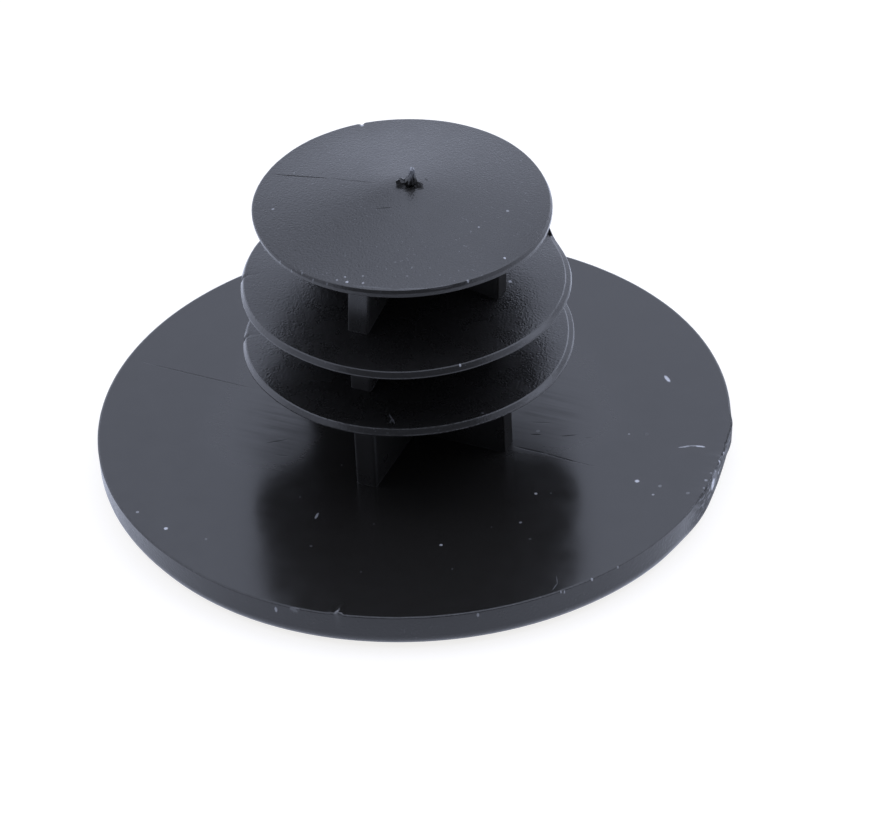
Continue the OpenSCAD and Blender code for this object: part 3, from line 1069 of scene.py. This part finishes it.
def plastic(name, body_colour, roughness, relief, ior=None, dust=None, specks=0.0, scores=None,
            score_depth=0.0, smear=0.0, highlight_from=None):
    """Black moulded plastic with its own relief, a gloss that varies a little, dust, scored lines and
    painted highlights.
    """
    f = finish()
    material = bpy.data.materials.new(name)
    material.use_nodes = True
    material.node_tree.nodes.clear()
    n = Nodes(material.node_tree)
    surface = n.add("ShaderNodeGroup", relief, node_tree=relief_group()).outputs
    height = surface["Height"]
    gloss = n.range(
        surface["Gloss"], *GLOSS_SPAN, roughness * (1.0 - GLOSS_SPREAD), roughness * (1.0 + GLOSS_SPREAD))
    paint = (*body_colour, 1.0)
    if "Scuff" in relief:
        gloss = n.maths("MULTIPLY_ADD", surface["Scuffed"], SCUFF_ROUGHNESS, gloss)
    if smear:
        gloss = n.maths("MULTIPLY_ADD", surface["Smear"], smear, gloss)
    if scores:
        lines = n.add("ShaderNodeGroup", node_tree=scores).outputs["Mask"]
        height = n.maths("MULTIPLY_ADD", lines, -score_depth / MM, height)
        gloss = n.maths("MAXIMUM", gloss, lines)
    # Painted highlight: a paler colour from a height upwards
    if highlight_from is not None:
        above = n.add("ShaderNodeSeparateXYZ", {0: n.millimetres()}).outputs["Z"]
        pale = n.range(above, highlight_from, highlight_from + GATE_HIGHLIGHT_RISE)
        paint = n.mix(pale, paint, (*f.torn, 1.0))
    if dust:
        mask = n.add("ShaderNodeGroup", node_tree=dust).outputs["Mask"]
        mask = n.maths("MULTIPLY_ADD", surface["Specks"], specks, mask)
        if "Scuff" in relief:
            mask = n.maths("MULTIPLY_ADD", surface["Flecks"], FLECK_LEVEL, mask)
        paint = n.mix(mask, paint, (*f.dust, 1.0))
        gloss = n.maths("MAXIMUM", gloss, mask)
    normal = n.add("ShaderNodeBump", {"Height": height, "Strength": 1.0, "Distance": MM}).outputs["Normal"]
    body = n.add("ShaderNodeBsdfPrincipled", {
        "Base Color": paint, "IOR": ior or f.ior, "Roughness": gloss, "Normal": normal})
    n.add("ShaderNodeOutputMaterial", {"Surface": body.outputs["BSDF"]})
    return material


def moulding_materials(surface):
    """One material for each kind of face, in slot order, with its relief in millimetres."""
    f = finish()
    flange_dust = marks_group("flange_dust", FLANGE_DUST, surface, shake=0.06)
    rim_dust = marks_group("rim_dust", RIM_DUST, surface, shake=0.1)
    fin_dust_and_highlight = marks_group("fin_dust_and_highlight", FIN_DUST_AND_HIGHLIGHT, surface, shake=0.06)
    flange_scores = marks_group("flange_scores", FLANGE_SCORES, surface, shake=0.03)
    fin_scores = marks_group("fin_scores", FIN_SCORES, surface, shake=0.015)
    seat = {"Waves": 0.003, "Grain": 0.0002, "Streaks": 0.0016}
    rim = {"Waves": 0.002, "Pits": 0.014, "Grain": 0.0006, "Scuff": 0.045}
    rib = {"Waves": 0.003, "Grain": 0.0003}
    fin = {"Waves": 0.002, "Pits": f.fin_spark_depth / MM, "Grain": 0.0005, "Coarse": 0.004}
    edge = {"Pits": 0.008, "Grain": 0.0004}
    top = {"Waves": 0.002, "Pits": f.spark_depth / MM, "Grain": 0.0005}
    return [
        plastic("flange_plastic", f.plastic, f.flange_roughness, seat, dust=flange_dust,
                scores=flange_scores, score_depth=f.seat_score, smear=0.33),
        plastic("rim_plastic", f.plastic, f.rim_roughness, rim, dust=rim_dust, specks=0.05),
        # The ribs' paler colour is painted light in the gaps between the fins
        plastic("stem_plastic", f.painted_light_ribs, f.stem_roughness, rib, ior=f.stem_ior),
        # The lower fins' darker colour is painted shade
        plastic("fin_plastic", f.painted_shade_fins, f.fin_roughness, fin, dust=fin_dust_and_highlight, specks=0.03),
        plastic("fin_edge_plastic", f.rubbed, f.flange_roughness, edge, dust=fin_dust_and_highlight, specks=0.08),
        plastic("top_fin_plastic", f.textured, f.fin_roughness, top, dust=fin_dust_and_highlight, specks=0.12,
                scores=fin_scores, score_depth=f.fin_score),
        # Painted shade on the right rib's tip: darker colour and weaker reflections than the other ribs
        plastic("tip_shade_plastic", f.plastic, f.stem_roughness, rib, ior=f.tip_shade_ior),
    ]


def gate_plastic_with_highlight():
    """Rough plastic of the torn gate, with a painted highlight that makes it paler towards its tip."""
    relief = {"Waves": 0.01, "Pits": 0.01, "Grain": 0.001}
    highlight_from = all_fins()[-1].axis_top / MM + GATE_HIGHLIGHT_FROM
    return plastic("gate_plastic_with_highlight", finish().plastic, finish().rim_roughness, relief, highlight_from=highlight_from)


# Stage

# Half the floor's width, its drop below the cap, its paint, and its colour as the camera sees it
FLOOR_HALF, FLOOR_DROP = 3.0, 0.02 * MM
FLOOR_PAINT, FLOOR_SEEN = (0.3, 0.3, 0.3, 1.0), (0.81, 0.80, 0.785, 1.0)

# How the floor's glow changes towards the camera and to the right: two places in metres, and glow at each
FRONT_FADES = ((0.0, 0.02, 1.0, 0.68), (0.02, 0.034, 1.0, 0.2))
SIDE_FADES = ((-0.02, 0.02, 1.1, 1.4), (0.021, 0.028, 1.0, 0.65))

# Height of the backdrop's soft upper edge above the horizon, and half the turn that the backdrop takes up
BACKDROP_TOP_DEG, BACKDROP_FULL_DEG = 38.5, 34.5
BACKDROP_HALF_DEG, BACKDROP_FULL_HALF_DEG = 105.0, 80.0

# The tent's dark opening: its soft edge, and how far its middle lies below the camera
MOUTH_DEG, MOUTH_FULL_DEG, MOUTH_DROP = 53.0, 40.0, 0.12

# Nearest and farthest that the camera sees, in metres
CLIP_START, CLIP_END = 0.01, 20.0


class Lamp(NamedTuple):
    """Bright place in the tent: direction in parts of far, right and up, soft edge, and strength by name."""

    far: float
    right: float
    up: float
    start_deg: float
    full_deg: float
    strength: str


LAMPS = (
    Lamp(1.0, 0.27, 1.8, 29.0, 9.0, "overhead"),
    Lamp(0.0, 0.0, 1.0, 26.0, 8.0, "zenith"),
    Lamp(0.18, -0.75, 0.85, 24.0, 8.0, "side_lamps"),
    Lamp(0.18, 0.75, 0.85, 24.0, 8.0, "side_lamps"),
    Lamp(1.0, 1.0, 0.4, 22.0, 10.0, "right_strip"),
    Lamp(1.0, -1.0, 0.45, 22.0, 10.0, "left_strip"),
)


def floor_glow(nodes, direction, fades):
    """Glow of the floor along a level direction, from two fades."""
    place = nodes.add("ShaderNodeTexCoord").outputs["Object"]
    level = Vector((direction.x, direction.y, 0.0)).normalized()
    out = nodes.vector_value("DOT_PRODUCT", place, level)
    return nodes.maths("MULTIPLY", *(nodes.range(out, *fade) for fade in fades))


def add_floor():
    """A wide pale floor under the cap, white to the camera and dimmer in the cap's reflections."""
    mesh = bmesh.new()
    bmesh.ops.create_grid(mesh, x_segments=1, y_segments=1, size=FLOOR_HALF)
    data = bpy.data.meshes.new("floor")
    mesh.to_mesh(data)
    mesh.free()
    floor = bpy.data.objects.new("floor", data)
    floor.location.z = -FLOOR_DROP
    bpy.context.scene.collection.objects.link(floor)
    material = bpy.data.materials.new("floor_white")
    material.use_nodes = True
    material.node_tree.nodes.clear()
    n = Nodes(material.node_tree)
    _, right, _, back = camera_axes()
    paint = n.add("ShaderNodeBsdfDiffuse", {"Color": FLOOR_PAINT})
    bright = n.maths("MULTIPLY", floor_glow(n, right, SIDE_FADES), floor_glow(n, back, FRONT_FADES))
    dim = n.add("ShaderNodeVectorMath", {0: stage().tint, "Scale": bright}, operation="SCALE")
    seen = n.add("ShaderNodeLightPath").outputs["Is Camera Ray"]
    shine = n.mix(seen, dim.outputs[0], FLOOR_SEEN)
    glow = n.add("ShaderNodeEmission", {"Color": shine, "Strength": 1.0})
    both = n.add("ShaderNodeAddShader", {0: paint.outputs[0], 1: glow.outputs[0]})
    n.add("ShaderNodeOutputMaterial", {"Surface": both.outputs[0]})
    data.materials.append(material)


def add_sky():
    """A white tent: brighter above the far side, and dark where it opens for the camera."""
    t = stage()
    world = bpy.data.worlds.new("tent")
    bpy.context.scene.world = world
    world.use_nodes = True
    world.node_tree.nodes.clear()
    n = Nodes(world.node_tree)
    towards = n.add("ShaderNodeTexCoord").outputs["Generated"]
    _, right, _, back = camera_axes()
    far = Vector((-back.x, -back.y, 0.0)).normalized()
    above = Vector((0.0, 0.0, 1.0))

    def within(direction, start_deg, full_deg, outside, inside):
        """A value that changes smoothly from an angle round a direction to a smaller one."""
        facing = n.vector_value("DOT_PRODUCT", towards, direction.normalized())
        ends = (math.cos(math.radians(start_deg)), math.cos(math.radians(full_deg)))
        return n.range(facing, *ends, outside, inside, smooth=True)

    light = t.sky
    for lamp in LAMPS:
        direction = lamp.far * far + lamp.right * right + lamp.up * above
        glow = within(direction, lamp.start_deg, lamp.full_deg, 0.0, getattr(t, lamp.strength))
        light = n.maths("ADD", light, glow)
    low_down = within(-above, 90.0 + BACKDROP_TOP_DEG, 90.0 + BACKDROP_FULL_DEG, 0.0, t.backdrop)
    wall = n.maths("MULTIPLY", low_down, within(far, BACKDROP_HALF_DEG, BACKDROP_FULL_HALF_DEG, 0.0, 1.0))
    mouth = within(back - MOUTH_DROP * above, MOUTH_DEG, MOUTH_FULL_DEG, 1.0, 1.0 - t.opening)
    strength = n.maths("MULTIPLY", n.maths("ADD", light, wall), mouth)
    seen = n.add("ShaderNodeLightPath").outputs["Is Camera Ray"]
    shown = n.mix(seen, (*t.tint, 1.0), (1.0, 1.0, 1.0, 1.0))
    tent = n.add("ShaderNodeBackground", {"Color": shown, "Strength": n.maths("MAXIMUM", strength, seen)})
    n.add("ShaderNodeOutputWorld", {"Surface": tent.outputs[0]})


def add_camera():
    """The camera, aimed at the middle of the seating face and then shifted a little."""
    t = stage()
    data = bpy.data.cameras.new("camera")
    data.sensor_width = t.sensor
    data.lens = t.lens
    data.clip_start, data.clip_end = CLIP_START, CLIP_END
    camera = bpy.data.objects.new("camera", data)
    bpy.context.scene.collection.objects.link(camera)
    bpy.context.scene.camera = camera
    place, right, up, back = camera_axes()
    turn = Matrix((right, up, back)).transposed()
    camera.matrix_world = Matrix.Translation(place) @ turn.to_4x4()


# Operators and panel

class EndCapMoulding(bpy.types.Operator):
    """Model the flange, stem and fins as one lofted moulding"""

    bl_idname = "object.end_cap_moulding"
    bl_label = "Moulding"

    def execute(self, context):
        mesh = bmesh.new()
        section, cone_top = moulding_section()
        last = loft(mesh, section, column_angles())
        bmesh.ops.pointmerge(mesh, verts=last, merge_co=Vector((0.0, 0.0, cone_top)))
        shift_stem(mesh)
        paint_tip_shade(mesh)
        bmesh.ops.recalc_face_normals(mesh, faces=mesh.faces)
        materials = moulding_materials(BVHTree.FromBMesh(mesh))
        piece = new_piece("end_cap_moulding", mesh, materials, MOULDING_SHARP_DEG)
        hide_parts(NODE)
        return {"FINISHED"}


class EndCapGate(bpy.types.Operator):
    """Model the torn stub of the gate on the cone's top"""

    bl_idname = "object.end_cap_gate"
    bl_label = "Torn gate"

    def execute(self, context):
        mesh = bmesh.new()
        add_gate(mesh)
        bmesh.ops.recalc_face_normals(mesh, faces=mesh.faces)
        new_piece("gate_stub", mesh, [gate_plastic_with_highlight()], GATE_SHARP_DEG)
        return {"FINISHED"}


class EndCapStageSet(bpy.types.Operator):
    """Set the pale floor, the soft light and the camera"""

    bl_idname = "object.end_cap_stage"
    bl_label = "Stage"

    def execute(self, context):
        add_floor()
        add_sky()
        add_camera()
        context.scene.view_settings.view_transform = "Standard"
        return {"FINISHED"}


class EndCapPanel(bpy.types.Panel):
    """Sizes, finish and steps of the end cap"""

    bl_idname = "VIEW3D_PT_end_cap"
    bl_label = "End Cap"
    bl_space_type = "VIEW_3D"
    bl_region_type = "UI"
    bl_category = "End Cap"

    def draw(self, context):
        for group_name in GROUPS:
            group = getattr(context.scene, group_name)
            box = self.layout.box()
            for name in group.__annotations__:
                box.prop(group, name)
        for operator in OPERATORS:
            self.layout.operator(operator.bl_idname)


GROUPS = {"end_cap_sizes": EndCapSizes, "end_cap_finish": EndCapFinish, "end_cap_stage": EndCapStage}
OPERATORS = (EndCapMoulding, EndCapGate, EndCapStageSet)


def register():
    """Adds the classes, and the property groups to the scene."""
    for name, group in GROUPS.items():
        bpy.utils.register_class(group)
        setattr(bpy.types.Scene, name, bpy.props.PointerProperty(type=group))
    for item in (*OPERATORS, EndCapPanel):
        bpy.utils.register_class(item)


def unregister():
    """Takes the classes and the property groups away again."""
    for item in (EndCapPanel, *reversed(OPERATORS)):
        bpy.utils.unregister_class(item)
    for name, group in GROUPS.items():
        delattr(bpy.types.Scene, name)
        bpy.utils.unregister_class(group)


def main():
    """Builds the cap and its stage."""
    register()
    bpy.ops.object.end_cap_moulding()
    bpy.ops.object.end_cap_gate()
    bpy.ops.object.end_cap_stage()


if __name__ == "__main__":
    main()
